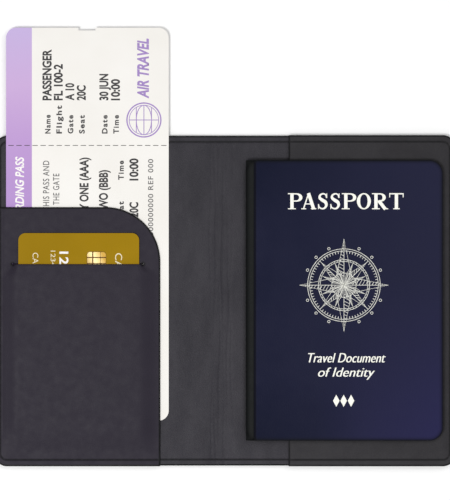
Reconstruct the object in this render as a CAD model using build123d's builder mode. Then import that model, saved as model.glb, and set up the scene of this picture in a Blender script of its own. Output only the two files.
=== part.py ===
"""Bi-fold passport holder lying open, with a passport, a bank card and a boarding pass in it.

Millimetres. X runs across the open holder, Y up its height and Z up from the table.
The origin is on the table, under the middle of the fold.
"""

import os

from build123d import *

os.makedirs("parts", exist_ok=True)

# Open holder
open_width = 207.0
height = 148.2
corner_radius = 6.0
fold_width = 7.5
left_edge = -open_width / 2
right_edge = open_width / 2
left_fold_line = -fold_width / 2
right_fold_line = fold_width / 2
top_edge = height / 2
bottom_edge = -height / 2

# Layers of the cover, from the table up
outer_thickness = 1.15
backing_thickness = 0.25
backing_margin = 5.0
lining_thickness = 0.6
lining_top = outer_thickness + lining_thickness

# Seam round the edge, its thread lying level in a pressed groove
seam_inset = 2.9
thread_width = 0.8
thread_depth = 0.3

# Leather panels over the lining
panel_thickness = 0.8
panel_seam_top = lining_top + panel_thickness
panel_ramp = 1.1
seam_allowance = 3.3
pocket_wall = 3.6

# Left pocket panel
pocket_right = -29.0
pocket_top = 41.85
pocket_corner_radius = 24.5
pass_room = 0.35
pocket_sheet_top = lining_top + pass_room + panel_thickness

# Card slit through the pocket panel, with the leather lifted over the card below it
slit_y = 16.4
slit_left = -95.1
slit_right = -36.6
slit_width = 0.5
slit_hole_diameter = 1.8
card_play = 0.05
card_side_play = 0.5

# Boarding pass
pass_left = -98.0
pass_right = -25.2
pass_bottom = -53.7
pass_top = 122.2
pass_thickness = 0.25
pass_lift = 0.05
pass_corner_radius = 4.5
perforation_y = 69.5
perforation_pitch = 3.6
perforation_length = 2.4
perforation_width = 0.3
notch_left = -65.6
notch_right = -58.0
notch_depth = 1.2

# Bank card, held upright
card_width = 53.98
card_length = 85.6
card_thickness = 0.76
card_corner_radius = 3.18
card_x = -65.4
card_bottom = -55.35
card_y = card_bottom + card_length / 2
card_floor = pocket_sheet_top + card_play
card_roof_floor = card_floor + card_thickness + card_play
card_roof_top = card_roof_floor + panel_thickness
card_roof_ramp = 2.0
card_side_ramp = 0.7
chip_width = 8.7
chip_length = 10.6
chip_x = -57.45
chip_y = 16.7
chip_thickness = 0.12
chip_corner_radius = 1.5
stripe_width = 12.7
stripe_margin = 5.5
signature_width = 9.0
signature_length = 62.0
signature_gap = 3.0
print_thickness = 0.08

# Right flap panel
flap_left = 28.5
cover_room = 0.55
flap_sheet_top = lining_top + cover_room + panel_thickness

# Passport
passport_left = 9.4
passport_right = 97.3
passport_bottom = -62.4
passport_top = 62.8
passport_corner_radius = 4.2
passport_lift = 0.05
cover_thickness = 0.35
endpaper_thickness = 0.1
endpaper_margin = 0.5
endpaper_spine_margin = 1.2
page_margin = 0.4
page_block_thickness = 1.5
data_page_thickness = 0.4
sewing_width = 0.4
sewing_depth = 0.3
sewing_length = 96.0
back_cover_floor = lining_top + passport_lift
back_endpaper_floor = back_cover_floor + cover_thickness
page_block_floor = flap_sheet_top + passport_lift
data_page_floor = page_block_floor + page_block_thickness
front_endpaper_floor = data_page_floor + data_page_thickness + passport_lift
front_cover_floor = front_endpaper_floor + endpaper_thickness
page_left = passport_left + cover_thickness


def rectangle_between(x_low, x_high, y_low, y_high, mode=Mode.ADD):
    """A rectangle given by its sides, drawn in the sketch that is open."""
    with Locations(((x_low + x_high) / 2, (y_low + y_high) / 2)):
        Rectangle(x_high - x_low, y_high - y_low, mode=mode)


def holder_outline(x_low, x_high):
    """The open holder's outline between two X positions."""
    RectangleRounded(open_width, height, corner_radius)
    rectangle_between(x_low, x_high, bottom_edge, top_edge, Mode.INTERSECT)


def seam_line(x_low, x_high, y_low, y_high):
    """The part of the seam round the holder that lies in a rectangle."""
    for half_thread, mode in ((thread_width / 2, Mode.ADD), (-thread_width / 2, Mode.SUBTRACT)):
        inset = seam_inset - half_thread
        RectangleRounded(open_width - 2 * inset, height - 2 * inset, corner_radius - inset, mode=mode)
    rectangle_between(x_low, x_high, y_low, y_high, Mode.INTERSECT)


def left_lining_seam():
    """The seam on the left half where the pocket panel doesn't cover the lining."""
    seam_line(left_edge, left_fold_line, bottom_edge, top_edge)
    rectangle_between(left_edge, pocket_right, bottom_edge, pocket_top, Mode.SUBTRACT)


def perforation():
    """The row of cuts between the boarding pass and its stub."""
    cuts = int((pass_right - pass_left) / perforation_pitch)
    with Locations(((pass_left + pass_right) / 2, perforation_y)):
        with GridLocations(perforation_pitch, 1, cuts, 1):
            Rectangle(perforation_length, perforation_width, mode=Mode.SUBTRACT)


# Outer leather
with BuildPart() as outer_cover_left:
    with BuildSketch():
        holder_outline(left_edge, left_fold_line)
    extrude(amount=outer_thickness)
    with BuildSketch(Plane.XY.offset(outer_thickness)):
        rectangle_between(
            left_edge + backing_margin,
            left_fold_line - backing_margin,
            bottom_edge + backing_margin,
            top_edge - backing_margin,
        )
    extrude(amount=-backing_thickness, mode=Mode.SUBTRACT)
outer_cover_left.part.label = "outer_cover_left"
export_step(outer_cover_left.part, "parts/outer_cover_left.step")

with BuildPart() as outer_cover_fold:
    with BuildSketch():
        holder_outline(left_fold_line, right_fold_line)
    extrude(amount=outer_thickness)
outer_cover_fold.part.label = "outer_cover_fold"
export_step(outer_cover_fold.part, "parts/outer_cover_fold.step")

with BuildPart() as outer_cover_right:
    with BuildSketch():
        holder_outline(right_fold_line, right_edge)
    extrude(amount=outer_thickness)
    with BuildSketch(Plane.XY.offset(outer_thickness)):
        rectangle_between(
            right_fold_line + backing_margin,
            right_edge - backing_margin,
            bottom_edge + backing_margin,
            top_edge - backing_margin,
        )
    extrude(amount=-backing_thickness, mode=Mode.SUBTRACT)
outer_cover_right.part.label = "outer_cover_right"
export_step(outer_cover_right.part, "parts/outer_cover_right.step")

# Backing sheets between the leathers
with BuildPart() as backing_sheet_left:
    with BuildSketch(Plane.XY.offset(outer_thickness - backing_thickness)):
        rectangle_between(
            left_edge + backing_margin,
            left_fold_line - backing_margin,
            bottom_edge + backing_margin,
            top_edge - backing_margin,
        )
    extrude(amount=backing_thickness)
backing_sheet_left.part.label = "backing_sheet_left"
export_step(backing_sheet_left.part, "parts/backing_sheet_left.step")

with BuildPart() as backing_sheet_right:
    with BuildSketch(Plane.XY.offset(outer_thickness - backing_thickness)):
        rectangle_between(
            right_fold_line + backing_margin,
            right_edge - backing_margin,
            bottom_edge + backing_margin,
            top_edge - backing_margin,
        )
    extrude(amount=backing_thickness)
backing_sheet_right.part.label = "backing_sheet_right"
export_step(backing_sheet_right.part, "parts/backing_sheet_right.step")

# Lining
with BuildPart() as lining_left:
    with BuildSketch(Plane.XY.offset(outer_thickness)):
        holder_outline(left_edge, left_fold_line)
    extrude(amount=lining_thickness)
    with BuildSketch(Plane.XY.offset(lining_top)):
        left_lining_seam()
    extrude(amount=-thread_depth, mode=Mode.SUBTRACT)
lining_left.part.label = "lining_left"
export_step(lining_left.part, "parts/lining_left.step")

with BuildPart() as lining_fold:
    with BuildSketch(Plane.XY.offset(outer_thickness)):
        holder_outline(left_fold_line, right_fold_line)
    extrude(amount=lining_thickness)
    with BuildSketch(Plane.XY.offset(lining_top)):
        seam_line(left_fold_line, right_fold_line, bottom_edge, top_edge)
    extrude(amount=-thread_depth, mode=Mode.SUBTRACT)
lining_fold.part.label = "lining_fold"
export_step(lining_fold.part, "parts/lining_fold.step")

with BuildPart() as lining_right:
    with BuildSketch(Plane.XY.offset(outer_thickness)):
        holder_outline(right_fold_line, right_edge)
    extrude(amount=lining_thickness)
    with BuildSketch(Plane.XY.offset(lining_top)):
        seam_line(right_fold_line, flap_left, bottom_edge, top_edge)
    extrude(amount=-thread_depth, mode=Mode.SUBTRACT)
lining_right.part.label = "lining_right"
export_step(lining_right.part, "parts/lining_right.step")

# Left pocket panel, sewn at the left and the bottom
with BuildPart() as left_pocket_panel:
    with BuildSketch(Plane.XY.offset(lining_top)):
        holder_outline(left_edge, pocket_right)
        rectangle_between(left_edge, pocket_right, bottom_edge, pocket_top, Mode.INTERSECT)
    extrude(amount=panel_thickness)
    with BuildSketch(Plane.XY.offset(panel_seam_top)):
        rectangle_between(
            left_edge + seam_allowance, pocket_right, bottom_edge + seam_allowance, pocket_top
        )
    with BuildSketch(Plane.XY.offset(pocket_sheet_top)):
        rectangle_between(
            left_edge + seam_allowance + panel_ramp,
            pocket_right,
            bottom_edge + seam_allowance + panel_ramp,
            pocket_top,
        )
    loft()
    with BuildSketch(Plane.XY.offset(pocket_sheet_top)):
        rectangle_between(slit_left, slit_right, card_bottom - 2 * card_roof_ramp, slit_y)
    with BuildSketch(Plane.XY.offset(card_roof_top)):
        rectangle_between(
            slit_left + card_side_ramp, slit_right - card_side_ramp, card_bottom - card_roof_ramp, slit_y
        )
    loft()
    with BuildSketch(Plane.XY.offset(lining_top)) as pocket_shape:
        rectangle_between(left_edge, pocket_right, bottom_edge, pocket_top)
        fillet(pocket_shape.vertices().group_by(Axis.X)[-1].sort_by(Axis.Y)[-1], pocket_corner_radius)
    extrude(amount=card_roof_top - lining_top, mode=Mode.INTERSECT)
    with BuildSketch(Plane.XY.offset(lining_top)):
        rectangle_between(
            left_edge + pocket_wall, pocket_right, bottom_edge + pocket_wall, pocket_top
        )
    extrude(amount=pass_room, mode=Mode.SUBTRACT)
    with BuildSketch(Plane.XY.offset(lining_top)):
        rectangle_between(
            card_x - card_width / 2 - card_side_play,
            card_x + card_width / 2 + card_side_play,
            card_bottom - card_side_play,
            slit_y,
        )
    extrude(amount=card_roof_floor - lining_top, mode=Mode.SUBTRACT)
    with BuildSketch(Plane.XY.offset(lining_top)):
        rectangle_between(slit_left, slit_right, slit_y - slit_width / 2, slit_y + slit_width / 2)
        with Locations((slit_left, slit_y), (slit_right, slit_y)):
            Circle(slit_hole_diameter / 2)
    extrude(amount=card_roof_top - lining_top, mode=Mode.SUBTRACT)
    with BuildSketch(Plane.XY.offset(panel_seam_top)):
        seam_line(left_edge, pocket_right, bottom_edge, pocket_top)
    extrude(amount=-thread_depth, mode=Mode.SUBTRACT)
left_pocket_panel.part.label = "left_pocket_panel"
export_step(left_pocket_panel.part, "parts/left_pocket_panel.step")

# Right flap panel, sewn at the top, the right and the bottom
with BuildPart() as right_flap_panel:
    with BuildSketch(Plane.XY.offset(lining_top)):
        holder_outline(flap_left, right_edge)
    extrude(amount=panel_thickness)
    with BuildSketch(Plane.XY.offset(panel_seam_top)):
        rectangle_between(
            flap_left,
            right_edge - seam_allowance,
            bottom_edge + seam_allowance,
            top_edge - seam_allowance,
        )
    with BuildSketch(Plane.XY.offset(flap_sheet_top)):
        rectangle_between(
            flap_left,
            right_edge - seam_allowance - panel_ramp,
            bottom_edge + seam_allowance + panel_ramp,
            top_edge - seam_allowance - panel_ramp,
        )
    loft()
    with BuildSketch(Plane.XY.offset(lining_top)):
        rectangle_between(
            flap_left, right_edge - pocket_wall, bottom_edge + pocket_wall, top_edge - pocket_wall
        )
    extrude(amount=cover_room, mode=Mode.SUBTRACT)
    with BuildSketch(Plane.XY.offset(panel_seam_top)):
        seam_line(flap_left, right_edge, bottom_edge, top_edge)
    extrude(amount=-thread_depth, mode=Mode.SUBTRACT)
right_flap_panel.part.label = "right_flap_panel"
export_step(right_flap_panel.part, "parts/right_flap_panel.step")

# Seam thread, each run lying level in its groove
with BuildPart() as seam_thread_pocket:
    with BuildSketch(Plane.XY.offset(panel_seam_top)):
        seam_line(left_edge, pocket_right, bottom_edge, pocket_top)
    extrude(amount=-thread_depth)
seam_thread_pocket.part.label = "seam_thread_pocket"
export_step(seam_thread_pocket.part, "parts/seam_thread_pocket.step")

with BuildPart() as seam_thread_left:
    with BuildSketch(Plane.XY.offset(lining_top)):
        left_lining_seam()
    extrude(amount=-thread_depth)
seam_thread_left.part.label = "seam_thread_left"
export_step(seam_thread_left.part, "parts/seam_thread_left.step")

with BuildPart() as seam_thread_fold:
    with BuildSketch(Plane.XY.offset(lining_top)):
        seam_line(left_fold_line, right_fold_line, bottom_edge, top_edge)
    extrude(amount=-thread_depth)
seam_thread_fold.part.label = "seam_thread_fold"
export_step(seam_thread_fold.part, "parts/seam_thread_fold.step")

with BuildPart() as seam_thread_right:
    with BuildSketch(Plane.XY.offset(lining_top)):
        seam_line(right_fold_line, flap_left, bottom_edge, top_edge)
    extrude(amount=-thread_depth)
seam_thread_right.part.label = "seam_thread_right"
export_step(seam_thread_right.part, "parts/seam_thread_right.step")

with BuildPart() as seam_thread_flap:
    with BuildSketch(Plane.XY.offset(panel_seam_top)):
        seam_line(flap_left, right_edge, bottom_edge, top_edge)
    extrude(amount=-thread_depth)
seam_thread_flap.part.label = "seam_thread_flap"
export_step(seam_thread_flap.part, "parts/seam_thread_flap.step")

# Boarding pass, main part and tear-off stub
with BuildPart() as boarding_pass_main:
    with BuildSketch(Plane.XY.offset(lining_top + pass_lift)) as main_shape:
        rectangle_between(pass_left, pass_right, pass_bottom, perforation_y)
        fillet(main_shape.vertices().group_by(Axis.Y)[0], pass_corner_radius)
        perforation()
    extrude(amount=pass_thickness)
boarding_pass_main.part.label = "boarding_pass_main"
export_step(boarding_pass_main.part, "parts/boarding_pass_main.step")

with BuildPart() as boarding_pass_stub:
    with BuildSketch(Plane.XY.offset(lining_top + pass_lift)) as stub_shape:
        rectangle_between(pass_left, pass_right, perforation_y, pass_top)
        fillet(stub_shape.vertices().group_by(Axis.Y)[-1], pass_corner_radius)
        rectangle_between(notch_left, notch_right, pass_top - notch_depth, pass_top, Mode.SUBTRACT)
        perforation()
    extrude(amount=pass_thickness)
boarding_pass_stub.part.label = "boarding_pass_stub"
export_step(boarding_pass_stub.part, "parts/boarding_pass_stub.step")

# Bank card, its chip plate let into the front, its stripe and signature panel into the back
stripe_right = card_x + card_width / 2 - stripe_margin
signature_right = stripe_right - stripe_width - signature_gap

with BuildPart() as card_body:
    with BuildSketch(Plane.XY.offset(card_floor)):
        with Locations((card_x, card_y)):
            RectangleRounded(card_width, card_length, card_corner_radius)
    extrude(amount=card_thickness)
    with BuildSketch(Plane.XY.offset(card_floor + card_thickness)):
        with Locations((chip_x, chip_y)):
            RectangleRounded(chip_width, chip_length, chip_corner_radius)
    extrude(amount=-chip_thickness, mode=Mode.SUBTRACT)
    with BuildSketch(Plane.XY.offset(card_floor)):
        rectangle_between(
            stripe_right - stripe_width, stripe_right, card_bottom, card_bottom + card_length
        )
        with Locations((signature_right - signature_width / 2, card_y)):
            Rectangle(signature_width, signature_length)
    extrude(amount=print_thickness, mode=Mode.SUBTRACT)
card_body.part.label = "card_body"
export_step(card_body.part, "parts/card_body.step")

with BuildPart() as card_chip:
    with BuildSketch(Plane.XY.offset(card_floor + card_thickness)):
        with Locations((chip_x, chip_y)):
            RectangleRounded(chip_width, chip_length, chip_corner_radius)
    extrude(amount=-chip_thickness)
card_chip.part.label = "card_chip"
export_step(card_chip.part, "parts/card_chip.step")

with BuildPart() as card_magnetic_stripe:
    with BuildSketch(Plane.XY.offset(card_floor)):
        rectangle_between(
            stripe_right - stripe_width, stripe_right, card_bottom, card_bottom + card_length
        )
    extrude(amount=print_thickness)
card_magnetic_stripe.part.label = "card_magnetic_stripe"
export_step(card_magnetic_stripe.part, "parts/card_magnetic_stripe.step")

with BuildPart() as card_signature_panel:
    with BuildSketch(Plane.XY.offset(card_floor)):
        with Locations((signature_right - signature_width / 2, card_y)):
            Rectangle(signature_width, signature_length)
    extrude(amount=print_thickness)
card_signature_panel.part.label = "card_signature_panel"
export_step(card_signature_panel.part, "parts/card_signature_panel.step")

# Passport, its back cover under the flap and the rest over it
with BuildPart() as passport_back_cover:
    with BuildSketch(Plane.XY.offset(back_cover_floor)) as back_cover_shape:
        rectangle_between(passport_left, passport_right, passport_bottom, passport_top)
        fillet(back_cover_shape.vertices().group_by(Axis.X)[-1], passport_corner_radius)
    extrude(amount=cover_thickness)
passport_back_cover.part.label = "passport_back_cover"
export_step(passport_back_cover.part, "parts/passport_back_cover.step")

with BuildPart() as passport_back_endpaper:
    with BuildSketch(Plane.XY.offset(back_endpaper_floor)) as back_endpaper_shape:
        rectangle_between(
            passport_left + endpaper_spine_margin,
            passport_right - endpaper_margin,
            passport_bottom + endpaper_margin,
            passport_top - endpaper_margin,
        )
        fillet(back_endpaper_shape.vertices().group_by(Axis.X)[-1], passport_corner_radius)
    extrude(amount=endpaper_thickness)
passport_back_endpaper.part.label = "passport_back_endpaper"
export_step(passport_back_endpaper.part, "parts/passport_back_endpaper.step")

with BuildPart() as passport_spine:
    with BuildSketch(Plane.XY.offset(back_endpaper_floor)):
        rectangle_between(passport_left, page_left, passport_bottom, passport_top)
    extrude(amount=front_cover_floor - back_endpaper_floor)
passport_spine.part.label = "passport_spine"
export_step(passport_spine.part, "parts/passport_spine.step")

with BuildPart() as passport_page_block:
    with BuildSketch(Plane.XY.offset(page_block_floor)) as page_shape:
        rectangle_between(
            page_left, passport_right - page_margin, passport_bottom + page_margin, passport_top - page_margin
        )
        fillet(page_shape.vertices().group_by(Axis.X)[-1], passport_corner_radius)
    extrude(amount=page_block_thickness)
    with BuildSketch(Plane.XY.offset(page_block_floor + (page_block_thickness - sewing_width) / 2)):
        rectangle_between(page_left, page_left + sewing_depth, -sewing_length / 2, sewing_length / 2)
    extrude(amount=sewing_width, mode=Mode.SUBTRACT)
passport_page_block.part.label = "passport_page_block"
export_step(passport_page_block.part, "parts/passport_page_block.step")

with BuildPart() as passport_sewing_thread:
    with BuildSketch(Plane.XY.offset(page_block_floor + (page_block_thickness - sewing_width) / 2)):
        rectangle_between(page_left, page_left + sewing_depth, -sewing_length / 2, sewing_length / 2)
    extrude(amount=sewing_width)
passport_sewing_thread.part.label = "passport_sewing_thread"
export_step(passport_sewing_thread.part, "parts/passport_sewing_thread.step")

with BuildPart() as passport_data_page:
    with BuildSketch(Plane.XY.offset(data_page_floor)) as data_page_shape:
        rectangle_between(
            page_left, passport_right - page_margin, passport_bottom + page_margin, passport_top - page_margin
        )
        fillet(data_page_shape.vertices().group_by(Axis.X)[-1], passport_corner_radius)
    extrude(amount=data_page_thickness)
passport_data_page.part.label = "passport_data_page"
export_step(passport_data_page.part, "parts/passport_data_page.step")

with BuildPart() as passport_front_endpaper:
    with BuildSketch(Plane.XY.offset(front_endpaper_floor)) as front_endpaper_shape:
        rectangle_between(
            passport_left + endpaper_spine_margin,
            passport_right - endpaper_margin,
            passport_bottom + endpaper_margin,
            passport_top - endpaper_margin,
        )
        fillet(front_endpaper_shape.vertices().group_by(Axis.X)[-1], passport_corner_radius)
    extrude(amount=endpaper_thickness)
passport_front_endpaper.part.label = "passport_front_endpaper"
export_step(passport_front_endpaper.part, "parts/passport_front_endpaper.step")

with BuildPart() as passport_front_cover:
    with BuildSketch(Plane.XY.offset(front_cover_floor)) as front_cover_shape:
        rectangle_between(passport_left, passport_right, passport_bottom, passport_top)
        fillet(front_cover_shape.vertices().group_by(Axis.X)[-1], passport_corner_radius)
    extrude(amount=cover_thickness)
passport_front_cover.part.label = "passport_front_cover"
export_step(passport_front_cover.part, "parts/passport_front_cover.step")
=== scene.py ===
"""Looks of the passport holder: grained leather halves with stitched seams, and the papers in them."""

import math
import random

import bmesh
import bpy
import numpy as np
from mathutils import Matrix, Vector
from mathutils.geometry import delaunay_2d_cdt


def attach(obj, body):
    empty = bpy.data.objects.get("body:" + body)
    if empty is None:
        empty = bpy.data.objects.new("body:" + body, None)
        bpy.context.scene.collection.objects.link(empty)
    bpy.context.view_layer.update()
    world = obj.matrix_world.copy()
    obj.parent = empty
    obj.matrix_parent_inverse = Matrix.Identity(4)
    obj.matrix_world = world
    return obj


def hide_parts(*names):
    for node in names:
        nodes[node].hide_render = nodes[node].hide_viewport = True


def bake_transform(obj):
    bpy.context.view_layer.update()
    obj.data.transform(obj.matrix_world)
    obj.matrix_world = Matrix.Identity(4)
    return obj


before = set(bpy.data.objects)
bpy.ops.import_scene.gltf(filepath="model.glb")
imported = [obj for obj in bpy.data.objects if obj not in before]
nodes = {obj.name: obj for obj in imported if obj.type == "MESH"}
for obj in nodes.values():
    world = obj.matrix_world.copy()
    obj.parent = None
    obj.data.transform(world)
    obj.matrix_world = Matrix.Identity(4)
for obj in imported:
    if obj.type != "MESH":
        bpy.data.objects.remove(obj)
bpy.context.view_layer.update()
scene = bpy.context.scene
MM = 0.001

# Sizes in millimetres, in the frame of the CAD parts. LOW and HIGH are along Y, TOP and BOTTOM over the table.
HALF_WIDTH, HALF_HEIGHT, CORNER = 103.5, 74.1, 6.0
TRIM = 0.25  # how far the lining and outer leather lie inside the panels' top and bottom edges
OUTER_TOP, LINING_BOTTOM, LINING_TOP = 1.15, 1.16, 1.75
SEAM = 2.9  # from the holder's edge to its stitch line
STITCH_PITCH, STITCH_LENGTH, THREAD = 3.5, 3.3, 0.2
SEAM_SUNK, BACK_SEAM = 0.16, 0.19  # how deep the upper stitches lie, and how high the lower ones
DIP_DEPTH, DIP_WIDTH = 0.2, 0.34  # the groove that the stitches lie in
PANEL = 0.8
PANEL_SEAM_TOP = LINING_TOP + PANEL
PASS_RAISE, CARD_RAISE, COVER_RAISE = 0.35, 1.66, 0.55  # how far a panel is lifted by what it holds
POCKET_RIGHT, POCKET_HIGH, POCKET_CORNER = -29.0, 41.85, 24.5
SLIT_Y, SLIT_LEFT, SLIT_RIGHT = 16.4, -95.1, -36.6
SLIT_GAP, SLIT_END = 0.06, 0.16  # the cut's width, and its end holes' radius at the bottom
FLAP_LEFT = 28.5
PASS_TOP = 2.05
BAND_RIGHT = -86.45  # the coloured band along the boarding pass
CARD_TOP = 3.71
CHIP_X, CHIP_Y, CHIP_W, CHIP_H = -57.45, 16.7, 8.7, 10.6
BOOK_LEFT, BOOK_RIGHT, BOOK_LOW, BOOK_HIGH, BOOK_CORNER = 9.4, 97.3, -62.4, 62.8, 6.0
SPINE_ROUND = 3.6
BEND_X = BOOK_LEFT + SPINE_ROUND
COVER_TOP, COVER_BOTTOM, COVER, SPINE = 5.55, 1.8, 0.35, 0.33
MID, REACH = (COVER_TOP + COVER_BOTTOM) / 2, (COVER_TOP - COVER_BOTTOM) / 2
DATA_TOP = 5.05
PRINT_LIFT, LAYER_STEP, LAYERS = 0.012, 0.0015, 6  # print lies just over its surface, overlaps in layers


# ---------------- materials
class Nodes:
    """A Principled material, and short ways to add the nodes that vary it."""

    def __init__(self, name, color, roughness, **inputs):
        self.material = bpy.data.materials.new(name)
        self.material.use_nodes = True
        self.tree = self.material.node_tree
        self.shader = self.tree.nodes["Principled BSDF"]
        self.shader.inputs["Base Color"].default_value = (*color, 1)
        self.shader.inputs["Roughness"].default_value = roughness
        for key, value in inputs.items():
            self.shader.inputs[key.replace("_", " ")].default_value = value
        self.place = self.tree.nodes.new("ShaderNodeTexCoord").outputs["Object"]
        self.height = None

    def link(self, a, b):
        self.tree.links.new(a, b)

    def add(self, kind, **values):
        node = self.tree.nodes.new(kind)
        for key, value in values.items():
            if key in node.inputs:
                node.inputs[key].default_value = value
            else:
                setattr(node, key, value)
        return node

    def noise(self, size, detail=3.0, rough=0.55, stretch=(1, 1, 1)):
        """Noise with features of about size millimetres."""
        mapping = self.add("ShaderNodeMapping", Scale=stretch)
        self.link(self.place, mapping.inputs["Vector"])
        node = self.add("ShaderNodeTexNoise", Scale=1 / (size * MM), Detail=detail, Roughness=rough)
        self.link(mapping.outputs["Vector"], node.inputs["Vector"])
        return node.outputs["Fac"]

    def cells(self, size):
        """The pebble of grained leather or cloth, about size millimetres across."""
        node = self.add("ShaderNodeTexVoronoi", Scale=1 / (size * MM))
        self.link(self.place, node.inputs["Vector"])
        return node.outputs["Distance"]

    def ramp(self, factor, *stops):
        """A colour or grey ramp. Each stop is (position, colour)."""
        node = self.add("ShaderNodeValToRGB")
        band = node.color_ramp
        for i, (position, color) in enumerate(stops):
            stop = band.elements[i] if i < 2 else band.elements.new(position)
            stop.position = position
            stop.color = (*color, 1) if hasattr(color, "__len__") else (color, color, color, 1)
        self.link(factor, node.inputs["Fac"])
        return node.outputs["Color"]

    def paint(self, color):
        self.link(color, self.shader.inputs["Base Color"])

    def color(self, factor, dark, light, low=0.3, high=0.7):
        self.paint(self.ramp(factor, (low, dark), (high, light)))

    def roughness(self, factor, low, high):
        self.link(self.ramp(factor, (0.3, low), (0.7, high)), self.shader.inputs["Roughness"])

    def axis(self, index):
        """The place's X, Y or Z in metres."""
        node = self.add("ShaderNodeSeparateXYZ")
        self.link(self.place, node.inputs["Vector"])
        return node.outputs[index]

    def math(self, operation, a, b, clamp=False):
        node = self.add("ShaderNodeMath", operation=operation, use_clamp=clamp)
        for socket, value in zip(node.inputs, (a, b)):
            if isinstance(value, (int, float)):
                socket.default_value = value
            else:
                self.link(value, socket)
        return node.outputs[0]

    def span(self, value, low, high):
        """0 at low and 1 at high, in millimetres along an axis."""
        node = self.add("ShaderNodeMapRange", **{"From Min": low * MM, "From Max": high * MM})
        self.link(value, node.inputs["Value"])
        return node.outputs["Result"]

    def mix(self, factor, a, b):
        node = self.add("ShaderNodeMix", data_type="RGBA")
        for socket, value in ((node.inputs["Factor"], factor), (node.inputs[6], a), (node.inputs[7], b)):
            if isinstance(value, tuple):
                socket.default_value = (*value, 1)
            elif isinstance(value, (int, float)):
                socket.default_value = value
            else:
                self.link(value, socket)
        return node.outputs[2]

    def bump(self, factor, depth, strength=1.0):
        """Adds relief of depth millimetres on top of any before it."""
        node = self.add("ShaderNodeBump", Strength=strength, Distance=depth * MM)
        self.link(factor, node.inputs["Height"])
        if self.height:
            self.link(self.height, node.inputs["Normal"])
        self.height = node.outputs["Normal"]
        self.link(self.height, self.shader.inputs["Normal"])


def distance(m, box, corner):
    """How far a place lies outside a box (left, right, low, high) whose corners are rounded by corner.

    Inside the box it is negative, and goes no further down than -corner."""
    squares = []
    for index, (low, high) in enumerate((box[:2], box[2:])):
        off = m.math("ABSOLUTE", m.math("SUBTRACT", m.axis(index), (low + high) / 2 * MM), 0.0)
        past = m.math("MAXIMUM", m.math("SUBTRACT", off, ((high - low) / 2 - corner) * MM), 0.0)
        squares.append(m.math("MULTIPLY", past, past))
    return m.math("SUBTRACT", m.math("SQRT", m.math("ADD", *squares), 0.0), corner * MM)


def near(m, off, reach):
    """1 where off is 0, falling to 0 where off is reach millimetres."""
    return m.math("SUBTRACT", 1.0, m.math("DIVIDE", off, reach * MM), clamp=True)


def seam_shade(m):
    """How far painted shade darkens a place along the seam's groove: 1 on the stitch line, 0 beside it."""
    off = distance(m, (-HALF_WIDTH, HALF_WIDTH, -HALF_HEIGHT, HALF_HEIGHT), CORNER)
    return near(m, m.math("ABSOLUTE", m.math("ADD", off, SEAM * MM), 0.0), 0.7)


def book_edge(m, outward, inward):
    """1 on the passport's outline, falling to 0 so many millimetres outside it and inside it."""
    off = distance(m, (BOOK_LEFT, BOOK_RIGHT, BOOK_LOW, BOOK_HIGH), BOOK_CORNER)
    edge = m.math("MINIMUM", near(m, off, outward), near(m, off, -inward))
    return m.math("MULTIPLY", edge, edge)


def relief(m):
    """Painted shade: soft dark dots round the holes that end the slit."""
    dots = []
    for end in (SLIT_LEFT, SLIT_RIGHT):
        off = distance(m, (end, end, SLIT_Y, SLIT_Y), 0.0)
        dots.append(m.math("MULTIPLY", near(m, off, 1.5), 1.7, clamp=True))
    return m.math("MAXIMUM", *dots)


def leather(name, dark, light, grain, depth, swell=0.5, painted_shade=False, streak=1.0, holes=False):
    """Fine grained leather: cells for the pebble, noise for pores, and broad colour variation.

    Leather that the passport lies on gets painted shade: darker towards the top, and a painted shadow round the
    passport's outline. holes is the panel with the slit, which gets painted shade in soft dots round its end
    holes. Every leather gets painted shade along the seam's groove."""
    m = Nodes(name, light, 0.5, Specular_IOR_Level=0.2)
    broad = m.noise(12, 5, 0.62, stretch=(1, streak, 1))
    fine = m.noise(grain * 0.8, 2)
    blend = m.mix(0.5, broad, fine)
    grained = m.ramp(blend, (0.36, dark), (0.62, light))
    shade_color = tuple(c * 0.22 for c in dark)
    # Painted shade: darker towards the top, and a painted shadow round the passport's outline
    if painted_shade:
        grained = m.mix(m.math("MULTIPLY", m.span(m.axis(1), -70, 74), 0.16), grained, shade_color)
        grained = m.mix(m.math("MULTIPLY", book_edge(m, 2.0, 4.0), 0.8), grained, shade_color)
    # Painted shade round the slit's end holes
    if holes:
        grained = m.mix(relief(m), grained, shade_color)
    # Painted shade along the seam's groove
    m.paint(m.mix(seam_shade(m), grained, shade_color))
    m.roughness(m.noise(3.5, 3), 0.5, 0.62)
    m.bump(m.cells(grain), depth)
    m.bump(fine, depth * 0.8)
    m.bump(m.noise(9, 2), 0.12, swell)
    return m.material


OUTER = leather("outer_leather", (0.012, 0.012, 0.013), (0.022, 0.021, 0.023), 0.9, depth=0.09)
LINING = leather(
    "lining_leather", (0.0194, 0.0180, 0.0242), (0.0430, 0.0404, 0.0485), 0.45, depth=0.08, swell=0.3,
    painted_shade=True, streak=0.35,
)
POCKET = leather(
    "pocket_leather", (0.0163, 0.0129, 0.0226), (0.0190, 0.0152, 0.0254), 0.5, depth=0.025, swell=0.12,
    holes=True,
)
FLAP = leather(
    "flap_leather", (0.0190, 0.0174, 0.0206), (0.0298, 0.0282, 0.0320), 0.5, depth=0.04, swell=0.25,
    painted_shade=True,
)

edge = Nodes("painted_edge", (0.008, 0.008, 0.009), 0.5, Specular_IOR_Level=0.08)
edge.color(edge.noise(2.0), (0.006, 0.006, 0.007), (0.012, 0.012, 0.013))
edge.bump(edge.noise(1.2), 0.05)
EDGE = edge.material

thread = Nodes("waxed_thread", (0.009, 0.009, 0.011), 0.5, Specular_IOR_Level=0.2)
thread.color(thread.noise(0.35), (0.004, 0.004, 0.005), (0.012, 0.012, 0.014))
thread.bump(thread.noise(0.18, stretch=(1, 1, 3)), 0.04)
THREAD_BLACK = thread.material

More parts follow.
